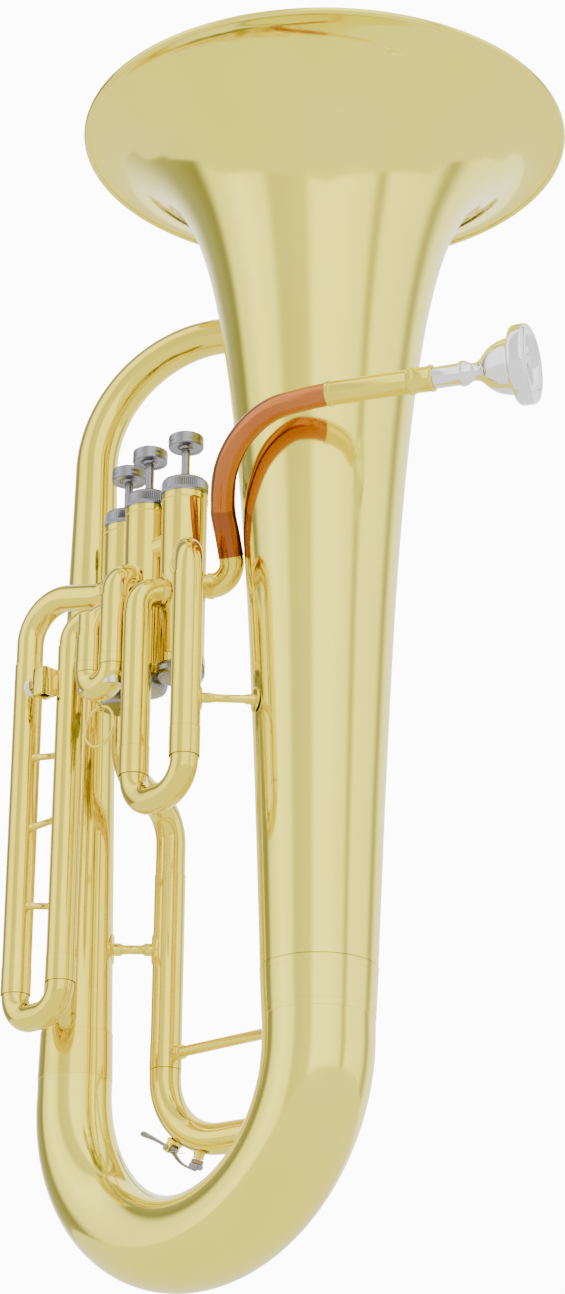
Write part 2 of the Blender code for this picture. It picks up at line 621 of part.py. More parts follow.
def lyre_holder():
    middle = Vector((-62.6, -45.0, 299.0))
    block = add_object("lyre_holder", box_mesh("lyre_holder", (8.6, 8.6, 14.0)), "lacquered_brass", middle)
    cut(block, box_mesh("lyre_socket", (5.0, 5.0, 20.0)), middle)
    cut(block, cylinder_mesh("screw_hole", 1.7, 6.0, 12), middle - Vector((4.3, 0, 0)), (1, 0, 0))
    screw = [(0, 8.4), (2.4, 8.2), (4.0, 7.2), (4.0, 4.2), (1.4, 3.6), (1.4, -1.6), (0, -1.6)]
    turned("lyre_screw", screw, "silver_plate", middle - Vector((4.3, 0, 0)), (-1, 0, 0), steps=12)


clear_scene()
PARTS = new_collection("baritone_horn")
CUTTERS = new_collection("cutters")
bell_side()
branch_side()
tuning_slide()
valve_exit()
water_key()
for valve_number in range(3):
    valve(valve_number)
knuckles()
slides()
leadpipe()
mouth_end()
fittings()
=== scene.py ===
import math

import bmesh
import bpy
from mathutils import Matrix, Vector


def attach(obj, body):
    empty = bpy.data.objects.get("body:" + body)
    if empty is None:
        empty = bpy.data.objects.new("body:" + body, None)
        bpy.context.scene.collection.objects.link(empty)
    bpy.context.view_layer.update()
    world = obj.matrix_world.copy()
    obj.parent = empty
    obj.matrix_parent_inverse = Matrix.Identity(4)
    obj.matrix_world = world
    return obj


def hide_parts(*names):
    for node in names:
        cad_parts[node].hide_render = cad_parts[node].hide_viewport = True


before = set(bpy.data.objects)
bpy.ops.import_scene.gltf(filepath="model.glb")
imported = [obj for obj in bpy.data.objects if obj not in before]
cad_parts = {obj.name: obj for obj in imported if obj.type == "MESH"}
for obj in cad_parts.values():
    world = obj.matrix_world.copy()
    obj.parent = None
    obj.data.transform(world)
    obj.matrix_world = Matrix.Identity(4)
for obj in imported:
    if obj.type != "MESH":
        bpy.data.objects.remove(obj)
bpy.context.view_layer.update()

MM = 0.001

# ---- the horn's own dimensions, in millimetres (the same as the CAD model's) ----
BELL_X, BRANCH_X = 80.5, -80.5
RIM_Z, RIM_R = 565.0, 120.0
BELL_OUTLINE = [(2.5, 117.2), (3.5, 110.5), (7, 101.2), (13, 92.5), (22, 82.0), (35, 72.0), (55, 62.4),
                (85, 54.0), (125, 47.0), (180, 40.6), (250, 35.1), (340, 30.4), (430.2, 26.7)]
BELL_SHEET = 0.9
FERRULE_Z = (134.5, 111.3)
BOW_CENTRE_Z, BOW_ENDS = 103.1, (25.5, 17.8)
BRANCH_R, BRANCH_TOP = (17.2, 10.7), 432.0
TUNING_LEFT, TUNING_RIGHT = (-49.5, 30.0), (40.5, 46.0)
TUNING_TOP, TUNING_END, TUNING_BEND_Z, TUNING_BEND_R = 215.4, 117.4, 114.0, 34.0
TUBE_R = 7.5
TUNING_BAND, TUNING_INNER_TOP = 129.8, 196.0
VALVES = ((22.5, -35.0), (-2.0, -35.6), (-25.2, -27.8))
CASING_R, CASING_Z = 11.0, (286.5, 374.5)
CAP_R, TOP_CAP_Z, BOTTOM_CAP_Z = 11.5, (374.8, 383.5), (280.0, 286.2)
STEM_R, STEM_FOOT, BUTTON_R, BUTTON_Z = 2.15, 374.5, 8.6, (400.0, 407.0)
SLIDES = {
    1: {"right": (51.9, -59.6, 334.5), "left": (15.8, -57.0, 322.5), "end": 227.5, "band": 241.5, "r": 7.0,
        "bow": 6.5, "bow_bend": 14.8, "bends": (14.0, 10.6), "shift": 0.0, "rise": 0.0, "collar": 2.0,
        "inner_top": 276.0, "body": "first_slide"},
    2: {"right": (-0.8, -57.0, 335.5), "left": (-16.9, -57.0, 319.4), "end": 287.0, "band": 292.4, "r": 6.9,
        "bow": 6.8, "bow_bend": 8.04, "bends": (10.6, 12.0), "shift": 1.5, "rise": 0.0, "collar": 2.0,
        "inner_top": 302.0, "body": "second_slide"},
    3: {"right": (-53.7, -35.7, 330.0), "left": (-85.8, -35.3, 343.3), "end": 147.5, "band": 160.5, "r": 7.1,
        "bow": 6.6, "bow_bend": 13.0, "bends": (10.0, 20.0), "shift": 0.0, "rise": 9.5, "collar": 11.0,
        "inner_top": 225.0, "body": "third_slide"}}
SLIDE3_BRACES = {"top": (268.2, 261.9), "middle": (230.6, 230.6), "bottom": (192.5, 184.9)}
EXIT_KNEE, EXIT_PORT_Z, EXIT_R = (-38.5, -12.0), 297.0, 7.3
KNUCKLE_Z, KNUCKLE_R = (352.0, 308.0), 6.6
LEAD_ROUTE = [(42.3, -18.9, 328.0), (47.4, -30.2, 348.8), (50.0, -36.1, 359.6), (60.2, -45.4, 371.0),
              (72.2, -50.8, 379.8), (86.2, -53.4, 386.1), (99.6, -52.7, 389.9), (113.1, -49.6, 390.6),
              (128.1, -45.0, 390.6)]
MOUTH_START, MOUTH_AXIS = Vector((128.1, -45.0, 390.6)), Vector((0.9078, 0.4195, 0.0)).normalized()
RECEIVER_LENGTH = 50.0
KEY_ANGLE, NOZZLE_ANGLE, PIVOT_OUT = 50.0, 72.0, 46.0
UP = Vector((0, 0, 1))
WALL_STRENGTH, PAPER_STRENGTH = 2.5, 12.0
FLOOR_REACH, FLOOR_Z = 6, -0.36


# ---- routes ----
def rounded_path(corners, radii, step=1.2):
    """A route through straight runs whose corners are arcs, with a point about every step on the arcs."""
    points = [Vector(corner) for corner in corners]
    route = [points[0]]
    for index, radius in enumerate(radii, start=1):
        corner = points[index]
        back = (points[index - 1] - corner)
        ahead = (points[index + 1] - corner)
        half = 0.5 * back.angle(ahead)
        reach = min(radius / math.tan(half), 0.98 * back.length, 0.98 * ahead.length)
        radius = reach * math.tan(half)
        centre = corner + (back.normalized() + ahead.normalized()).normalized() * (radius / math.sin(half))
        start = (corner + back.normalized() * reach - centre).normalized()
        end = (corner + ahead.normalized() * reach - centre).normalized()
        steps = max(6, int(radius * start.angle(end) / step))
        for i in range(steps + 1):
            route.append(centre + start.slerp(end, i / steps) * radius)
    route.append(points[-1])
    return route


def smooth_route(points, steps=10):
    """A smooth curve through every point."""
    knots = [Vector(p) for p in points]
    knots = [2 * knots[0] - knots[1]] + knots + [2 * knots[-1] - knots[-2]]
    route = []
    for a, b, c, d in zip(knots, knots[1:], knots[2:], knots[3:]):
        for step in range(steps):
            t = step / steps
            route.append(0.5 * (2 * b + (c - a) * t + (2 * a - 5 * b + 4 * c - d) * t * t
                                + (3 * b - a - 3 * c + d) * t ** 3))
    route.append(knots[-2])
    return route


def half_circle(start, end, height, steps, up):
    start, end = Vector((*start, height)), Vector((*end, height))
    centre, reach = 0.5 * (start + end), 0.5 * (start - end)
    lift = UP * (reach.length if up else -reach.length)
    return [centre + reach * math.cos(math.pi * i / steps) + lift * math.sin(math.pi * i / steps)
            for i in range(steps + 1)]


# ---- meshes ----
class Shape:
    """Closed shells gathered into one mesh, in millimetres."""

    def __init__(self):
        self.verts, self.faces = [], []

    def rings(self, rings, loop=False):
        base, count, sides = len(self.verts), len(rings), len(rings[0])
        for ring in rings:
            self.verts.extend(ring)
        for k in range(count if loop else count - 1):
            a, b = base + k * sides, base + (k + 1) % count * sides
            for i in range(sides):
                j = (i + 1) % sides
                self.faces.append((a + i, a + j, b + j, b + i))
        if not loop:
            self.faces.append(tuple(range(base + sides - 1, base - 1, -1)))
            self.faces.append(tuple(range(base + (count - 1) * sides, base + count * sides)))
        return self

    def lathe(self, profile, place=(0, 0, 0), axis=UP, steps=96, loop=False, knurl=None):
        """Turns (radius, height) points about an axis. knurl: (low, high, ribs, depth) of a ribbed band."""
        turn = UP.rotation_difference(Vector(axis)).to_matrix()
        place = Vector(place)
        rings = []
        for radius, height in profile:
            ring = []
            for i in range(steps):
                angle = 2 * math.pi * i / steps
                r = max(radius, 0.01)
                if knurl and knurl[0] <= height <= knurl[1]:
                    r -= knurl[3] * (0.5 + 0.5 * math.cos(knurl[2] * angle))
                ring.append(place + turn @ Vector((r * math.cos(angle), r * math.sin(angle), height)))
            rings.append(ring)
        return self.rings(rings, loop)

    def sweep(self, path, radii, sides=48, bore_start=None, bore_end=None, flat=1.0, normal=None):
        """A round tube along a path. bore_start and bore_end: (radius, depth) of a hollow at that end."""
        path = [Vector(p) for p in path]
        if not hasattr(radii, "__len__"):
            radii = [radii] * len(path)
        last = len(path) - 1
        tangents = [(path[min(i + 1, last)] - path[max(i - 1, 0)]).normalized() for i in range(last + 1)]
        side = Vector(normal) if normal is not None else tangents[0].orthogonal()
        frames = []
        for tangent in tangents:
            side = (side - tangent * side.dot(tangent)).normalized()
            frames.append((side.copy(), tangent.cross(side)))

        def ring(point, frame_at, radius):
            u, v = frame_at
            return [point + u * (radius * math.cos(2 * math.pi * i / sides))
                    + v * (radius * flat * math.sin(2 * math.pi * i / sides)) for i in range(sides)]

        rings = [ring(p, f, r) for p, f, r in zip(path, frames, radii)]
        if bore_end:
            radius, depth = bore_end
            rings.append(ring(path[-1], frames[-1], radius))
            rings.append(ring(path[-1] - tangents[-1] * depth, frames[-1], radius))
        if bore_start:
            radius, depth = bore_start
            rings.insert(0, ring(path[0], frames[0], radius))
            rings.insert(0, ring(path[0] + tangents[0] * depth, frames[0], radius))
        return self.rings(rings)

    def block(self, size, place, turn=None, rounding=0.5):
        """A box with rounded edges."""
        work = bmesh.new()
        bmesh.ops.create_cube(work, size=1.0, matrix=Matrix.Diagonal((*size, 1.0)))
        bmesh.ops.bevel(work, geom=list(work.edges), offset=rounding, segments=3, affect="EDGES",
                        profile=0.5)
        turn = turn.to_matrix() if turn is not None else Matrix.Identity(3)
        base = len(self.verts)
        work.verts.index_update()
        self.verts.extend(Vector(place) + turn @ v.co for v in work.verts)
        self.faces.extend(tuple(base + v.index for v in face.verts) for face in work.faces)
        work.free()
        return self

    def ring_wire(self, centre, axis, radius, wire, steps=72, sides=16):
        """A closed round wire ring."""
        turn = UP.rotation_difference(Vector(axis)).to_matrix()
        rings = []
        for i in range(steps):
            angle = 2 * math.pi * i / steps
            out = turn @ Vector((math.cos(angle), math.sin(angle), 0))
            along = turn @ UP
            rings.append([Vector(centre) + out * (radius + wire * math.cos(2 * math.pi * k / sides))
                          + along * (wire * math.sin(2 * math.pi * k / sides)) for k in range(sides)])
        return self.rings(rings, loop=True)

    def make(self, name, material, body, nodes=(), slot="lacquered_brass", sharp=38):
        mesh = bpy.data.meshes.new(name)
        mesh.from_pydata([v * MM for v in self.verts], [], self.faces)
        work = bmesh.new()
        work.from_mesh(mesh)
        bmesh.ops.recalc_face_normals(work, faces=work.faces)
        work.to_mesh(mesh)
        work.free()
        mesh.shade_smooth()
        mesh.set_sharp_from_angle(angle=math.radians(sharp))
        mesh.materials.append(material)
        obj = bpy.data.objects.new(name, mesh)
        bpy.context.scene.collection.objects.link(obj)
        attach(obj, body)
        if nodes:
            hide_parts(*nodes)
        return obj


def soft_profile(points, steps=8):
    """A smooth outline through (radius, height) points."""
    route = smooth_route([(r, h, 0) for r, h in points], steps)
    return [(p.x, p.y) for p in route]


def band(radius_top, radius_bottom, top, bottom, proud=0.16, lip=0.0, inner=1.2):
    """Closed outline of a soldered ferrule. It stands a little proud of the tube, with two fine steps under
    its top edge. With a lip it also has a groove that far in from each edge."""
    def at(height):
        return radius_bottom + (radius_top - radius_bottom) * (height - bottom) / (top - bottom)

    top_marks = [(0.0, 0.03), (0.06, proud + 0.08), (0.3, proud + 0.08), (0.36, 0.02), (0.66, 0.02),
                 (0.72, proud)]
    bottom_marks = [(0.0, 0.03), (0.1, proud)]
    if lip:
        groove = [(lip, proud), (lip + 0.06, 0.02), (lip + 0.4, 0.02), (lip + 0.46, proud)]
        top_marks, bottom_marks = top_marks + groove, bottom_marks + groove
    out = [(at(top - along) + lift, top - along) for along, lift in top_marks]
    out += [(at(bottom + along) + lift, bottom + along) for along, lift in reversed(bottom_marks)]
    return out + [(radius_bottom - inner, bottom), (radius_top - inner, top)]


# ---- materials ----
def node(tree, kind, **settings):
    made = tree.nodes.new(kind)
    for key, value in settings.items():
        if key.startswith("in_"):
            made.inputs[key[3:].replace("_", " ")].default_value = value
        else:
            setattr(made, key, value)
    return made


def metal(name, colour, shade, roughness, spread=0.04, coat=0.0, scratch=0.0025, grain=900.0, brushed=None):
    """Polished or satin metal: slow tint changes, uneven gloss and very fine polishing marks."""
    material = bpy.data.materials.new(name)
    material.use_nodes = True
    tree = material.node_tree
    shader = tree.nodes["Principled BSDF"]
    shader.inputs["Metallic"].default_value = 1.0
    shader.inputs["Coat Weight"].default_value = coat
    shader.inputs["Coat Roughness"].default_value = 0.03
    where = node(tree, "ShaderNodeTexCoord")
    clouds = node(tree, "ShaderNodeTexNoise", in_Scale=14.0, in_Detail=3.0, in_Roughness=0.5)
    tree.links.new(where.outputs["Object"], clouds.inputs["Vector"])
    tint = node(tree, "ShaderNodeMix", data_type="RGBA")
    tint.inputs["A"].default_value = (*colour, 1.0)
    tint.inputs["B"].default_value = (*shade, 1.0)
    spread_out = node(tree, "ShaderNodeMapRange", in_From_Min=0.35, in_From_Max=0.75)
    tree.links.new(clouds.outputs["Fac"], spread_out.inputs["Value"])
    tree.links.new(spread_out.outputs["Result"], tint.inputs["Factor"])
    tree.links.new(tint.outputs["Result"], shader.inputs["Base Color"])
    haze = node(tree, "ShaderNodeTexNoise", in_Scale=60.0, in_Detail=4.0, in_Roughness=0.6)
    tree.links.new(where.outputs["Object"], haze.inputs["Vector"])
    gloss = node(tree, "ShaderNodeMapRange", in_From_Min=0.3, in_From_Max=0.7)
    gloss.inputs["To Min"].default_value = roughness
    gloss.inputs["To Max"].default_value = roughness + spread
    tree.links.new(haze.outputs["Fac"], gloss.inputs["Value"])
    tree.links.new(gloss.outputs["Result"], shader.inputs["Roughness"])
    marks_from = where.outputs["Object"]
    if brushed is not None:
        stretch = node(tree, "ShaderNodeMapping")
        stretch.inputs["Scale"].default_value = brushed
        tree.links.new(where.outputs["Object"], stretch.inputs["Vector"])
        marks_from = stretch.outputs["Vector"]
    marks = node(tree, "ShaderNodeTexNoise", in_Scale=grain, in_Detail=2.0, in_Roughness=0.5)
    tree.links.new(marks_from, marks.inputs["Vector"])
    bump = node(tree, "ShaderNodeBump")
    bump.inputs["Strength"].default_value = 0.25
    bump.inputs["Distance"].default_value = scratch * MM
    tree.links.new(marks.outputs["Fac"], bump.inputs["Height"])
    tree.links.new(bump.outputs["Normal"], shader.inputs["Normal"])
    return material


def cork_material():
    material = bpy.data.materials.new("pressed_cork")
    material.use_nodes = True
    tree = material.node_tree
    shader = tree.nodes["Principled BSDF"]
    shader.inputs["Roughness"].default_value = 0.85
    where = node(tree, "ShaderNodeTexCoord")
    cells = node(tree, "ShaderNodeTexVoronoi", in_Scale=1400.0)
    tree.links.new(where.outputs["Object"], cells.inputs["Vector"])
    tint = node(tree, "ShaderNodeValToRGB")
    tint.color_ramp.elements[0].color = (0.20, 0.10, 0.04, 1)
    tint.color_ramp.elements[1].color = (0.55, 0.36, 0.19, 1)
    tree.links.new(cells.outputs["Distance"], tint.inputs["Fac"])
    tree.links.new(tint.outputs["Color"], shader.inputs["Base Color"])
    bump = node(tree, "ShaderNodeBump", in_Strength=0.6)
    bump.inputs["Distance"].default_value = 0.1 * MM
    tree.links.new(cells.outputs["Distance"], bump.inputs["Height"])
    tree.links.new(bump.outputs["Normal"], shader.inputs["Normal"])
    return material


BRASS = metal("lacquered_brass", (0.92, 0.84, 0.10), (0.90, 0.79, 0.07), 0.08, coat=0.25)
BRASS_TUBE = metal("lacquered_brass_tube", (0.90, 0.76, 0.06), (0.84, 0.67, 0.04), 0.07, coat=0.25)
ROSE = metal("rose_brass", (0.52, 0.17, 0.035), (0.40, 0.11, 0.02), 0.10, coat=0.25)
ROSE_DARK = metal("rose_brass_sleeve", (0.34, 0.10, 0.02), (0.26, 0.06, 0.012), 0.12, coat=0.25)
NICKEL = metal("satin_nickel", (0.30, 0.30, 0.32), (0.24, 0.24, 0.26), 0.24, spread=0.12, scratch=0.01)
INNER_NICKEL = metal("slide_nickel", (0.72, 0.71, 0.66), (0.66, 0.65, 0.60), 0.14, brushed=(1, 1, 0.02))
SILVER = metal("silver_plate", (0.90, 0.90, 0.92), (0.84, 0.84, 0.87), 0.05, scratch=0.0015)
MONEL = metal("piston_monel", (0.58, 0.56, 0.52), (0.50, 0.48, 0.45), 0.22, brushed=(0.05, 0.05, 1.0))
STEEL = metal("spring_steel", (0.45, 0.45, 0.47), (0.36, 0.36, 0.38), 0.30)
CORK = cork_material()


# ---- bell, bows and branch ----
def bell():
    outer = soft_profile([(r, RIM_Z - d) for d, r in BELL_OUTLINE], 12)
    inner = []
    for i, (radius, height) in enumerate(outer):
        before, after = Vector(outer[max(i - 1, 0)]), Vector(outer[min(i + 1, len(outer) - 1)])
        along = (after - before).normalized()
        inner.append((radius + along.y * BELL_SHEET, height - along.x * BELL_SHEET))
    inner[-1] = (outer[-1][0] - BELL_SHEET, outer[-1][1])
    bead = 1.7
    centre = (RIM_R - bead - 0.1, RIM_Z - bead - 0.05)
    rim = [(centre[0] + bead * math.cos(math.radians(a)), centre[1] + bead * math.sin(math.radians(a)))
           for a in range(-125, 141, 12)]
    shape = Shape().lathe(rim + inner + outer[::-1], (BELL_X, 0, 0), steps=224, loop=True)
    shape.make("bell_skin", BRASS, "horn", ["bell"])
    Shape().lathe(band(26.75, 25.55, *FERRULE_Z, lip=3.2), (BELL_X, 0, 0), steps=160, loop=True).make(
        "bell_ferrule_skin", BRASS, "horn", ["bell_ferrule"])
    Shape().lathe(band(17.3, 17.85, *FERRULE_Z, lip=3.0), (BRANCH_X, 0, 0), steps=128, loop=True).make(
        "branch_ferrule_skin", BRASS_TUBE, "horn", ["branch_ferrule"])


def bows():
    arc = half_circle((BELL_X, 0), (BRANCH_X, 0), BOW_CENTRE_Z, 140, up=False)
    path = [Vector((BELL_X, 0, FERRULE_Z[1] + 4.0))] + arc + [Vector((BRANCH_X, 0, FERRULE_Z[1] + 4.0))]
    first, last = BOW_ENDS
    radii = [first + (last - first) * (i / (len(path) - 1)) ** 1.35 for i in range(len(path))]
    Shape().sweep(path, radii, sides=112).make("bottom_bow_skin", BRASS, "horn", ["bottom_bow"])

    lower, upper = BRANCH_R
    sides = [(upper, BRANCH_TOP + 1.0), (lower, FERRULE_Z[0] - 3.0)]
    Shape().lathe(sides, (BRANCH_X, 0, 0), steps=112).make(
        "main_branch_skin", BRASS_TUBE, "horn", ["main_branch"])
    over = half_circle((BRANCH_X, 0), TUNING_RIGHT, BRANCH_TOP + 3.0, 110, up=True)
    over = [Vector((BRANCH_X, 0, BRANCH_TOP - 2.0))] + over + [Vector((*TUNING_RIGHT, BRANCH_TOP - 2.0))]
    radii = [upper + 0.05 + (TUBE_R - upper) * i / (len(over) - 1) for i in range(len(over))]
    Shape().sweep(over, radii, sides=80).make("top_bow_skin", BRASS_TUBE, "horn", ["top_bow"])
    shape = Shape().lathe([(TUBE_R, BRANCH_TOP), (TUBE_R, TUNING_TOP - 1.0)], (*TUNING_RIGHT, 0), steps=64)
    shape.make("rear_tube_skin", BRASS_TUBE, "horn", ["rear_tube"])


# ---- main tuning slide and valve exit ----
def leg_end(shape, axis, radius, band_top, end):
    """The ferrule at a sleeve's open end."""
    shape.lathe(band(radius, radius, band_top, end, inner=0.9), (*axis, 0), steps=72, loop=True)


def inner_legs(name, legs, top, end, radius, body):
    """The thin nickel tubes of a slide, which show when it is pulled."""
    shape = Shape()
    for axis in legs:
        shape.sweep([(*axis, end - 2.0), (*axis, top)], radius, 48, bore_end=(radius - 0.5, 25.0))
    shape.make(name, INNER_NICKEL, body, slot="satin_nickel")


def slide_bow(legs, end, bend_z, bend_r, radius):
    """The U of a pull-out slide with a collar at the top of each leg."""
    left, right = legs
    floor = bend_z - bend_r
    corners = [(*left, end - 0.3), (*left, floor), (*right, floor), (*right, end - 0.3)]
    shape = Shape().sweep(rounded_path(corners, [bend_r, bend_r], 0.9), radius, 56)
    for axis in legs:
        shape.sweep([(*axis, end - 0.25), (*axis, end - 1.2)], radius + 0.1, 56)
    return shape


def tuning_slide():
    for side, axis in (("left", TUNING_LEFT), ("right", TUNING_RIGHT)):
        r = TUBE_R
        shape = Shape().sweep([(*axis, TUNING_TOP), (*axis, TUNING_END)], r + 0.1, 64, bore_end=(7.0, 30.0))
        leg_end(shape, axis, r + 0.1, TUNING_BAND, TUNING_END)
        shape.lathe(band(r, r, TUNING_TOP, TUNING_TOP - 3.2, inner=0.9), (*axis, 0), steps=72, loop=True)
        shape.make(f"tuning_sleeve_{side}_skin", BRASS_TUBE, "horn", [f"tuning_sleeve_{side}"])
    legs = (TUNING_LEFT, TUNING_RIGHT)
    slide_bow(legs, TUNING_END, TUNING_BEND_Z, TUNING_BEND_R, TUBE_R + 0.1).make(
        "tuning_slide_skin", BRASS_TUBE, "main_slide", ["tuning_slide"])
    inner_legs("tuning_slide_inner_legs", legs, TUNING_INNER_TOP, TUNING_END, 6.75, "main_slide")


def valve_exit():
    axis = Vector((*VALVES[2], EXIT_PORT_Z))
    away = (Vector((*EXIT_KNEE, EXIT_PORT_Z)) - axis).normalized()
    corners = [axis + away * (CASING_R - 1.0), (*EXIT_KNEE, EXIT_PORT_Z), (*EXIT_KNEE, 255.0),
               (*TUNING_LEFT, 246.0), (*TUNING_LEFT, TUNING_TOP - 2.0)]
    Shape().sweep(rounded_path(corners, [12.0, 18.0, 18.0], 0.9), EXIT_R, 64).make(
        "valve_exit_skin", BRASS_TUBE, "horn", ["valve_exit_tube"])


def bend_point(angle, distance):
    """A point round the tuning slide's left bend, with the outward direction and the one across the bend."""
    along = Vector((TUNING_RIGHT[0] - TUNING_LEFT[0], TUNING_RIGHT[1] - TUNING_LEFT[1], 0)).normalized()
    centre = Vector((*TUNING_LEFT, TUNING_BEND_Z)) + along * TUNING_BEND_R
    turn = math.radians(angle)
    outward = -along * math.cos(turn) - UP * math.sin(turn)
    return centre + outward * distance, outward, Vector((along.y, -along.x, 0))


def water_key():
    surface = TUNING_BEND_R + TUBE_R
    pivot, out, across = bend_point(KEY_ANGLE, PIVOT_OUT)
    foot = bend_point(KEY_ANGLE, surface)[0]
    turn = Matrix((across, out.cross(across), out)).transposed().to_quaternion()
    saddle = Shape().block((8.6, 4.6, 1.8), foot + out * 0.7, turn, 0.5)
    for side in (-1, 1):
        saddle.block((1.3, 3.4, 6.2), foot + out * 3.4 + across * (3.45 * side), turn, 0.55)
    saddle.make("water_key_saddle_skin", BRASS_TUBE, "main_slide", ["water_key_saddle"])
    pin = [(1.0, 5.3), (1.3, 5.0), (1.3, 4.3), (0.75, 4.2), (0.75, -4.9), (0.5, -5.1)]
    Shape().lathe(pin, pivot, across, 24).make(
        "water_key_pin_skin", NICKEL, "main_slide", ["water_key_pin"], "satin_nickel")
    nozzle_at, nozzle_out, _ = bend_point(NOZZLE_ANGLE, surface)
    nozzle = [(2.5, 2.9), (2.9, -0.6), (1.3, -0.6), (1.3, 2.9)]
    Shape().lathe(nozzle, nozzle_at, nozzle_out, 40, loop=True).make(
        "water_key_nozzle_skin", BRASS_TUBE, "main_slide", ["water_key_nozzle"])

    stops = [(NOZZLE_ANGLE, 3.8), (62.0, 3.0), (54.0, 1.0), (KEY_ANGLE, 0.2), (44.0, 1.0), (37.0, 3.0),
             (30.0, 6.4)]
    path = smooth_route([bend_point(angle, PIVOT_OUT + lift)[0] for angle, lift in stops], 8)
    widths = [1.5 + 0.6 * math.sin(math.pi * i / (len(path) - 1)) ** 2
              + 1.9 * max(0.0, (i / (len(path) - 1) - 0.7) / 0.3) ** 1.5 for i in range(len(path))]
    lever = Shape().sweep(path, widths, 28, flat=0.45, normal=across)
    lever.lathe([(1.0, 2.4), (1.65, 2.1), (1.65, -2.1), (1.0, -2.4)], pivot, across, 28)
    cup_at = bend_point(NOZZLE_ANGLE, PIVOT_OUT + 2.2)[0]
    lever.lathe([(1.0, 1.4), (2.6, 1.2), (3.5, 0.3), (3.5, -1.3), (3.1, -1.3)], cup_at, nozzle_out, 40)
    lever.make("water_key_lever_skin", NICKEL, "water_key", ["water_key_lever"], "satin_nickel")
    cork = [(3.0, 1.0), (3.0, -0.8), (2.7, -1.05)]
    Shape().lathe(cork, nozzle_at + nozzle_out * 4.2, nozzle_out, 40).make(
        "water_key_cork_skin", CORK, "water_key", ["water_key_cork"], "cork")

    coil = []
    turns, per_turn = 5, 18
    tail = bend_point(KEY_ANGLE + 9.0, PIVOT_OUT - 1.9)[0]
    for i in range(turns * per_turn + 1):
        angle = 2 * math.pi * i / per_turn
        shift = -2.2 + 4.4 * i / (turns * per_turn)
        coil.append(pivot + across * shift + out * (2.05 * math.cos(angle))
                    + out.cross(across) * (2.05 * math.sin(angle)))
    Shape().sweep([tail - across * 2.0] + coil + [tail + across * 2.0], 0.26, 8).make(
        "water_key_spring", STEEL, "main_slide", slot="spring_steel")


# ---- valves ----
def valve(index):
    n = index + 1
    x, y = VALVES[index]
    low, high = CASING_Z
    r = CASING_R
    casing = [(r + 0.45, high), (r + 0.45, high - 3.0), (r + 0.1, high - 3.4), (r, high - 3.6),
              (r, low + 4.4), (r + 0.1, low + 4.2), (r + 0.45, low + 3.8), (r + 0.45, low),
              (r - 0.8, low), (r - 0.8, high)]
    Shape().lathe(casing, (x, y, 0), steps=112, loop=True).make(
        f"valve{n}_casing_skin", BRASS_TUBE, "horn", [f"valve{n}_casing"])

    low, high = TOP_CAP_Z
    r = CAP_R
    top = [(2.7, high - 0.6), (3.4, high), (6.5, high - 0.1), (7.2, high - 0.6), (r - 1.9, high - 0.6),
           (r - 0.9, high - 0.9), (r - 0.35, high - 1.5), (r - 0.3, high - 2.1)]
    top += [(r, high - 2.3 - 0.25 * i) for i in range(19)]
    top += [(r - 0.5, low + 1.0), (r - 0.15, low + 0.8), (r - 0.15, low), (2.7, low)]
    Shape().lathe(top, (x, y, 0), steps=288, loop=True, knurl=(low + 1.1, high - 2.25, 72, 0.42)).make(
        f"valve{n}_top_cap_skin", NICKEL, "horn", [f"valve{n}_top_cap"], "satin_nickel", sharp=50)

    low, high = BOTTOM_CAP_Z
    bottom = [(r - 0.15, high), (r - 0.15, high - 0.6), (r - 0.5, high - 0.8)]
    bottom += [(r, high - 1.0 - 0.3 * i) for i in range(9)]
    bottom += [(r - 0.4, low + 2.4), (r - 0.45, low + 1.5), (r - 0.9, low + 0.7), (r - 1.8, low + 0.2),
               (r - 2.8, low), (4.0, low + 0.1), (1.7, low + 0.1), (1.6, low + 0.3), (1.6, high)]
    Shape().lathe(bottom, (x, y, 0), steps=288, loop=True, knurl=(low + 2.6, high - 0.95, 72, 0.42)).make(
        f"valve{n}_bottom_cap_skin", NICKEL, "horn", [f"valve{n}_bottom_cap"], "satin_nickel", sharp=50)

    low, high = BUTTON_Z
    b = BUTTON_R
    button = [(0.0, high - 1.1), (3.0, high - 1.05), (5.6, high - 0.75), (6.7, high - 0.3),
              (7.2, high - 0.02),
              (8.0, high - 0.02), (b - 0.1, high - 0.35), (b, high - 0.9), (b, high - 3.0),
              (b - 0.15, high - 3.3), (b - 0.15, high - 3.8), (b, high - 4.1), (b, low + 1.5),
              (b - 0.3, low + 1.0),
              (b - 1.2, low + 0.9), (b - 2.2, low + 1.3), (4.4, low + 1.5), (3.6, low + 1.1),
              (3.3, low + 0.2), (3.0, low), (STEM_R, low - 0.2), (STEM_R, STEM_FOOT)]
    Shape().lathe(button, (x, y, 0), steps=96).make(
        f"valve{n}_button_skin", NICKEL, f"valve{n}", [f"valve{n}_button"], "satin_nickel")


def knuckles():
    for pair, height in enumerate(KNUCKLE_Z):
        start, end = (Vector((*VALVES[index], height)) for index in (pair, pair + 1))
        reach = (end - start).normalized() * (0.7 * CASING_R)
        node_name = f"valve_knuckle_{pair + 1}_{pair + 2}"
        Shape().sweep([start + reach, end - reach], KNUCKLE_R, 48).make(
            f"{node_name}_skin", BRASS_TUBE, "horn", [node_name])


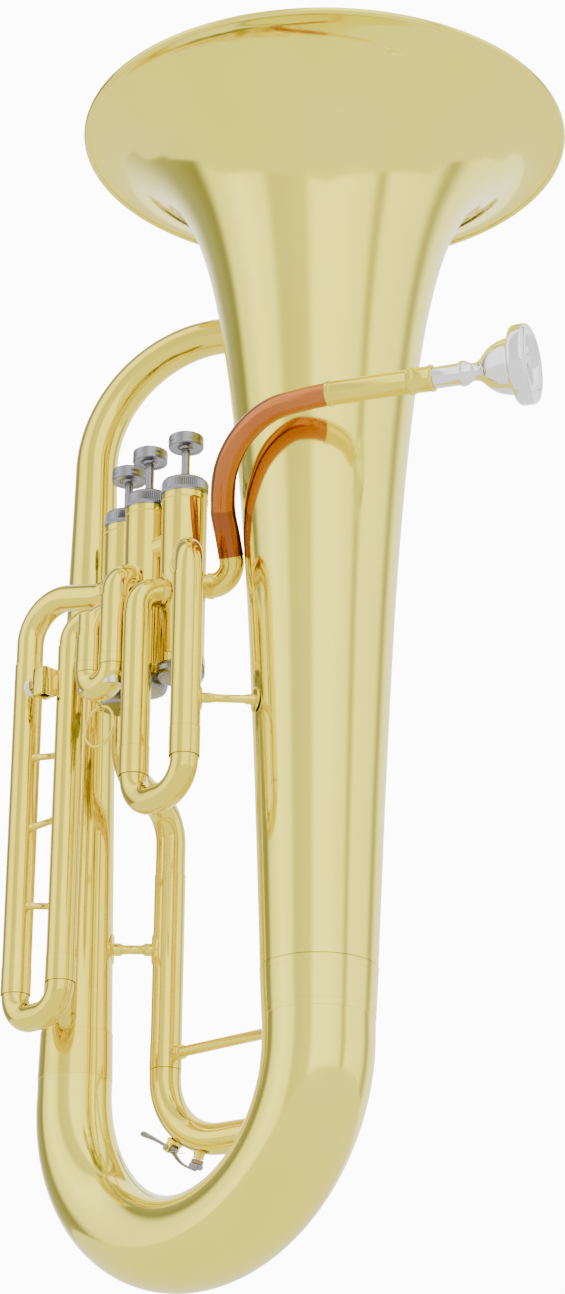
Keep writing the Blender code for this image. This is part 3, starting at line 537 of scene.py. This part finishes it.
# ---- valve slides ----
def valve_slide(n):
    s = SLIDES[n]
    r = s["r"]
    sides = (("right", s["bends"][0], 0.0, 0.0, 2.0),
             ("left", s["bends"][1], s["shift"], s["rise"], s["collar"]))
    for side, bend, shift, rise, collar in sides:
        x, y, port_z = s[side]
        axis = Vector((VALVES[n - 1][0] - shift, VALVES[n - 1][1], port_z))
        away = (Vector((x, y, port_z)) - axis).normalized()
        corners, radii = [axis + away * (CASING_R - 1.5), (x, y, port_z + rise), (x, y, s["end"])], [bend]
        if rise:
            corners.insert(1, axis + away * (CASING_R + 5.6))
            radii.insert(0, 12.0)
        route = rounded_path(corners, radii, 0.8)
        sleeve_top = route[-2].z - collar
        shape = Shape().sweep(route[:-1] + [Vector((x, y, sleeve_top - 3.0))], r - 0.45, 56)
        shape.sweep([(x, y, sleeve_top), (x, y, sleeve_top - 0.12), (x, y, s["end"])], [r - 0.12, r, r], 56,
                    bore_end=(r - 0.55, 30.0))
        shape.lathe([(r - 0.6, 0.0), (r + 0.45, 0.2), (r + 0.45, 2.2), (r - 0.6, 2.4)],
                    axis + away * (CASING_R - 0.4), away, 56, loop=True)
        leg_end(shape, (x, y), r, s["band"], s["end"])
        shape.make(f"slide{n}_{side}_leg_skin", BRASS_TUBE, "horn", [f"slide{n}_{side}_leg"])
    legs = (s["left"][:2], s["right"][:2])
    slide_bow(legs, s["end"], s["end"] - 0.4, s["bow_bend"], s["bow"]).make(
        f"slide{n}_bow_skin", BRASS_TUBE, s["body"], [f"slide{n}_bow"])
    inner_r = min(r - 0.75, s["bow"] - 0.2)
    inner_legs(f"slide{n}_inner_legs", legs, s["inner_top"], s["end"], inner_r, s["body"])


def pull_ring():
    left, right = SLIDES[2]["left"], SLIDES[2]["right"]
    reach = 0.5 * abs(left[0] - right[0])
    hang_z = SLIDES[2]["end"] - reach - SLIDES[2]["r"] - 3.6
    hang = Vector((0.5 * (left[0] + right[0]), left[1], hang_z))
    Shape().ring_wire(hang - UP * 9.8, (0, 1, 0), 9.8, 0.8).make(
        "slide2_pull_ring_skin", BRASS_TUBE, "pull_ring", ["slide2_pull_ring"])
    eye = Shape().ring_wire(hang, (1, 0, 0), 2.0, 0.65, 40, 12)
    eye.lathe([(0.9, 5.0), (0.9, 2.2)], hang, UP, 24)
    eye.lathe([(2.4, 4.6), (1.0, 3.2)], hang, UP, 32)
    eye.make("slide2_ring_eye_skin", BRASS_TUBE, "second_slide", ["slide2_ring_eye"])


# ---- leadpipe and mouthpiece ----
def leadpipe():
    axis = Vector((*VALVES[0], LEAD_ROUTE[0][2]))
    knee, above = Vector(LEAD_ROUTE[0]), Vector(LEAD_ROUTE[1])
    away = (knee - axis).normalized()
    climb = (above - knee).normalized()
    joint = knee + climb * 14.0
    corners = [axis + away * (CASING_R - 1.5), knee, joint + climb * 2]
    elbow = Shape().sweep(rounded_path(corners, [11.0], 0.7), 5.9, 56)
    collar = [(5.0, 0.0), (6.4, 0.2), (6.4, 2.6), (5.0, 2.8)]
    elbow.lathe(collar, axis + away * (CASING_R + 1.0), away, 72, loop=True)
    elbow.make("leadpipe_elbow_skin", BRASS_TUBE, "horn", ["leadpipe_elbow"])
    bend = smooth_route([joint] + LEAD_ROUTE[1:], 14)
    split = 28
    shape = Shape().sweep(bend[:split + 1], 6.05, 64)
    sleeve_axis = (bend[1] - bend[0]).normalized()
    shape.lathe([(5.2, 0.0), (6.2, 0.1), (6.2, 0.9), (5.2, 1.0)], bend[0], sleeve_axis, 72, loop=True)
    shape.make("leadpipe_sleeve_skin", ROSE_DARK, "horn", ["leadpipe_sleeve"], "rose_brass")
    copper = bend[split - 3:]
    radii = [5.95 - 0.55 * i / (len(copper) - 1) for i in range(len(copper))]
    Shape().sweep(copper, radii, 64).make(
        "leadpipe_bend_skin", ROSE, "horn", ["leadpipe_bend"], "rose_brass")


def mouth_end():
    end = RECEIVER_LENGTH
    receiver = [(5.2, end), (6.1, end), (6.35, end - 0.3), (6.35, end - 1.6), (5.95, end - 2.2),
                (5.85, end - 8.6), (6.0, end - 9.2), (6.5, end - 9.6), (6.65, end - 10.6), (6.5, end - 11.6),
                (6.0, end - 12.0), (5.7, end - 12.6), (5.6, 1.0), (5.9, 0.8), (6.0, 0.0), (5.9, -1.2),
                (5.5, -1.4), (4.8, -1.4), (4.95, end - 22.0)]
    Shape().lathe(receiver, MOUTH_START, MOUTH_AXIS, 80, loop=True).make(
        "mouthpiece_receiver_skin", BRASS_TUBE, "horn", ["mouthpiece_receiver"])
    outer = [(14.6, 46.95), (16.6, 46.8), (17.8, 46.3), (18.45, 45.5), (18.6, 44.5), (18.6, 40.6),
             (18.35, 39.4), (17.6, 38.6), (15.6, 38.2), (14.2, 38.0), (13.5, 37.4), (13.2, 36.4),
             (12.9, 34.6),
             (12.2, 31.6), (10.9, 28.6), (9.2, 26.2), (7.2, 24.2), (5.5, 22.6), (4.5, 21.0), (4.15, 19.4),
             (4.3, 18.0), (5.0, 16.6), (5.7, 15.6), (6.0, 14.4), (5.95, 13.2), (5.5, 12.4), (5.2, 12.0),
             (5.1, 2.0), (4.85, -1.0), (4.55, -16.9)]
    inner = [(3.9, -17.0), (3.0, 10.0), (2.7, 18.5), (3.0, 21.5), (4.4, 24.2), (6.8, 27.6), (9.2, 31.6),
             (11.0, 35.6), (12.0, 39.6), (12.5, 43.0), (13.1, 45.6), (13.8, 46.6)]
    Shape().lathe(outer + inner, MOUTH_START + MOUTH_AXIS * end, MOUTH_AXIS, 144, loop=True).make(
        "mouthpiece_skin", SILVER, "mouthpiece", ["mouthpiece"], "silver_plate")


# ---- braces and fittings ----
def spool(shape, start, end, waist=1.55, end_r=2.6, run=6.0):
    """A turned brace rod between two points: a slim waist and thicker ends, with a fine step between."""
    start, end = Vector(start), Vector(end)
    half = 0.5 * (end - start).length
    run = min(0.45 * half, run)
    side = [(end_r, half), (end_r, half - run * 0.8), (end_r - 0.35, half - run),
            (waist + 0.25, half - run - 0.4), (waist, half - run - 0.9)]
    shape.lathe(side + [(r, -h) for r, h in reversed(side)], 0.5 * (start + end), end - start, 40)
    return shape


def saddle(shape, centre, axis, towards, tube_r, size, thick=0.7, sides=40, rings=6):
    """A round flange bent to the tube it is soldered to. towards: from the tube's axis to the brace."""
    axis, out = Vector(axis).normalized(), Vector(towards).normalized()
    across = axis.cross(out)
    skins = []
    for lift, order in ((thick, range(rings + 1)), (0.0, range(rings, -1, -1))):
        for k in order:
            reach = max(size * k / rings, 0.02)
            ring = []
            for i in range(sides):
                angle = 2 * math.pi * i / sides
                along, turn = reach * math.cos(angle), reach * math.sin(angle) / tube_r
                r = tube_r + lift * (1.0 if k < rings else 0.35)
                ring.append(Vector(centre) + axis * along
                            + (out * math.cos(turn) + across * math.sin(turn)) * r)
            skins.append(ring)
    return shape.rings(skins)


def braces():
    left, branch = Vector((*TUNING_LEFT, 177.6)), Vector((BRANCH_X, 0, 177.6))
    along = (left - branch).normalized()
    shape = spool(Shape(), branch + along * 16.0, left - along * 7.4, 2.3, 3.2, 8.0)
    saddle(shape, branch, UP, along, 16.25, 7.4)
    saddle(shape, left, UP, -along, 7.6, 7.4).make(
        "brace_branch_tuning_skin", BRASS_TUBE, "horn", ["brace_branch_tuning"])

    start, end = Vector((*TUNING_LEFT, 125.0)), Vector((59.6, 17.6, 117.5))
    along = (end - start).normalized()
    shape = spool(Shape(), start + along * 7.4, end + along * 0.5, 2.6, 2.75, 5.0)
    collar = [(2.0, 0.0), (3.6, 0.1), (3.6, 3.4), (3.3, 3.6), (3.3, 4.0), (3.6, 4.2), (3.6, 5.4), (3.2, 5.8),
              (2.0, 5.8)]
    shape.lathe(collar, start + along * 7.5, along, 40, loop=True)
    shape.make("brace_bell_tuning_skin", BRASS_TUBE, "horn", ["brace_bell_tuning"])

    start, end = Vector((*SLIDES[1]["right"][:2], 256.5)), Vector((66.6, -27.8, 260.5))
    along = (end - start).normalized()
    level = Vector((along.x, along.y, 0))
    shape = spool(Shape(), start + along * 6.8, end + along * 0.6, 1.95, 2.5, 6.5)
    saddle(shape, start, UP, level, SLIDES[1]["r"], 5.8)
    saddle(shape, (BELL_X, 0, 260.3), UP, Vector((66.6 - BELL_X, -27.8, 0)), 32.45, 6.0).make(
        "brace_bell_slide1_skin", BRASS_TUBE, "horn", ["brace_bell_slide1"])
    for place, (left_z, right_z) in SLIDE3_BRACES.items():
        start, end = Vector((*SLIDES[3]["left"][:2], left_z)), Vector((*SLIDES[3]["right"][:2], right_z))
        along = (end - start).normalized()
        spool(Shape(), start + along * 6.8, end - along * 6.8, 1.7, 2.1, 3.0).make(
            f"slide3_brace_{place}_skin", BRASS_TUBE, "horn", [f"slide3_brace_{place}"])


def lyre_holder():
    middle = Vector((-62.6, -45.0, 299.0))
    wall, size = 1.8, 8.6
    inset = 0.5 * (size - wall)
    block = Shape()
    walls = ((0, inset, size, wall), (0, -inset, size, wall), (inset, 0, wall, size),
    (-inset, 0, wall, size))
    for dx, dy, sx, sy in walls:
        block.block((sx, sy, 14.0), middle + Vector((dx, dy, 0)), rounding=0.45)
    block.sweep([middle + Vector((-inset, 0, 0)), middle + Vector((-inset - 1.6, 0, 0))], 3.0, 32)
    block.block((5.0, 4.0, 8.0), middle + Vector((4.6, 5.0, 0)), rounding=0.6)
    block.make("lyre_holder_skin", BRASS_TUBE, "horn", ["lyre_holder"])
    head = [(0.0, 8.5), (1.4, 8.4), (2.7, 8.0), (3.6, 7.3), (4.05, 6.5)]
    head += [(4.1, 6.4 - 0.3 * i) for i in range(8)]
    head += [(3.7, 3.9), (2.2, 3.6), (1.4, 3.4), (1.4, -1.5)]
    Shape().lathe(head, middle - Vector((4.3, 0, 0)), (-1, 0, 0), 120, knurl=(4.1, 6.45, 30, 0.3)).make(
        "lyre_screw_skin", SILVER, "lyre_screw", ["lyre_screw"], "silver_plate", sharp=50)


def finish_hidden_nodes():
    """The pistons and springs inside the casings keep their CAD shape and get a finished material."""
    for name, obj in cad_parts.items():
        if name.endswith("_piston") or name.endswith("_spring"):
            for place in obj.material_slots:
                place.material = MONEL if name.endswith("_piston") else STEEL


# ---- studio ----
def plain(name, colour, roughness):
    material = bpy.data.materials.new(name)
    material.use_nodes = True
    shader = material.node_tree.nodes["Principled BSDF"]
    shader.inputs["Base Color"].default_value = (*colour, 1.0)
    shader.inputs["Roughness"].default_value = roughness
    return material


def studio():
    """A room whose walls change softly in brightness round the horn, which the camera sees as plain white."""
    world = bpy.data.worlds.new("studio")
    bpy.context.scene.world = world
    world.use_nodes = True
    tree = world.node_tree
    background = tree.nodes["Background"]
    where = node(tree, "ShaderNodeTexCoord")
    axes = node(tree, "ShaderNodeSeparateXYZ")
    tree.links.new(where.outputs["Generated"], axes.inputs["Vector"])
    azimuth = node(tree, "ShaderNodeMath", operation="ARCTAN2")
    tree.links.new(axes.outputs["Y"], azimuth.inputs[0])
    tree.links.new(axes.outputs["X"], azimuth.inputs[1])
    turn = node(tree, "ShaderNodeMapRange", in_From_Min=-math.pi, in_From_Max=math.pi)
    tree.links.new(azimuth.outputs["Value"], turn.inputs["Value"])
    walls = node(tree, "ShaderNodeValToRGB")
    walls.color_ramp.interpolation = "EASE"
    stops = [(-180, 0.22), (-160, 0.16), (-146, 0.75), (-122, 1.0), (-104, 0.9), (-92, 0.5), (-66, 0.55),
             (-54, 1.0), (-30, 1.0), (-6, 0.85), (4, 0.4), (14, 0.9), (50, 0.8), (66, 0.3), (84, 0.8),
             (140, 0.9), (180, 0.22)]
    ramp = walls.color_ramp
    while len(ramp.elements) < len(stops):
        ramp.elements.new(0.5)
    for element, (degrees, shade) in zip(ramp.elements, stops):
        element.position = (degrees + 180) / 360
        element.color = (shade, shade, shade, 1.0)
    tree.links.new(turn.outputs["Result"], walls.inputs["Fac"])
    tree.links.new(walls.outputs["Color"], background.inputs["Color"])
    background.inputs["Strength"].default_value = WALL_STRENGTH

    paper = node(tree, "ShaderNodeBackground")
    paper.inputs["Color"].default_value = (1.0, 1.0, 1.0, 1.0)
    paper.inputs["Strength"].default_value = PAPER_STRENGTH
    seen = node(tree, "ShaderNodeLightPath")
    choose = node(tree, "ShaderNodeMixShader")
    tree.links.new(seen.outputs["Is Camera Ray"], choose.inputs["Fac"])
    tree.links.new(background.outputs["Background"], choose.inputs[1])
    tree.links.new(paper.outputs["Background"], choose.inputs[2])
    tree.links.new(choose.outputs["Shader"], tree.nodes["World Output"].inputs["Surface"])

    floor = bpy.data.meshes.new("floor")
    corners = [(x * FLOOR_REACH, y * FLOOR_REACH, FLOOR_Z) for x, y in ((-1, -1), (1, -1), (1, 1), (-1, 1))]
    floor.from_pydata(corners, [], [(0, 1, 2, 3)])
    floor.materials.append(plain("floor_paper", (0.82, 0.82, 0.82), 0.7))
    floor = bpy.data.objects.new("floor", floor)
    bpy.context.scene.collection.objects.link(floor)


def camera():
    data = bpy.data.cameras.new("camera")
    data.sensor_width = 36.0
    data.sensor_fit = "AUTO"
    data.lens = 90.49
    data.clip_start, data.clip_end = 0.05, 50.0
    obj = bpy.data.objects.new("camera", data)
    bpy.context.scene.collection.objects.link(obj)
    right = Vector((0.7174, 0.6966, 0.0103))
    up = Vector((0.2602, -0.2817, 0.9236))
    ahead = Vector((-0.6463, 0.6599, 0.3833))
    turn = Matrix((right, up, -ahead)).transposed().to_4x4()
    obj.matrix_world = Matrix.Translation(Vector((1050.2, -1016.0, -291.7)) * MM) @ turn
    bpy.context.scene.camera = obj


bell()
bows()
tuning_slide()
valve_exit()
water_key()
for valve_index in range(3):
    valve(valve_index)
knuckles()
for slide_number in (1, 2, 3):
    valve_slide(slide_number)
pull_ring()
leadpipe()
mouth_end()
braces()
lyre_holder()
finish_hidden_nodes()
studio()
camera()

bpy.context.view_layer.update()
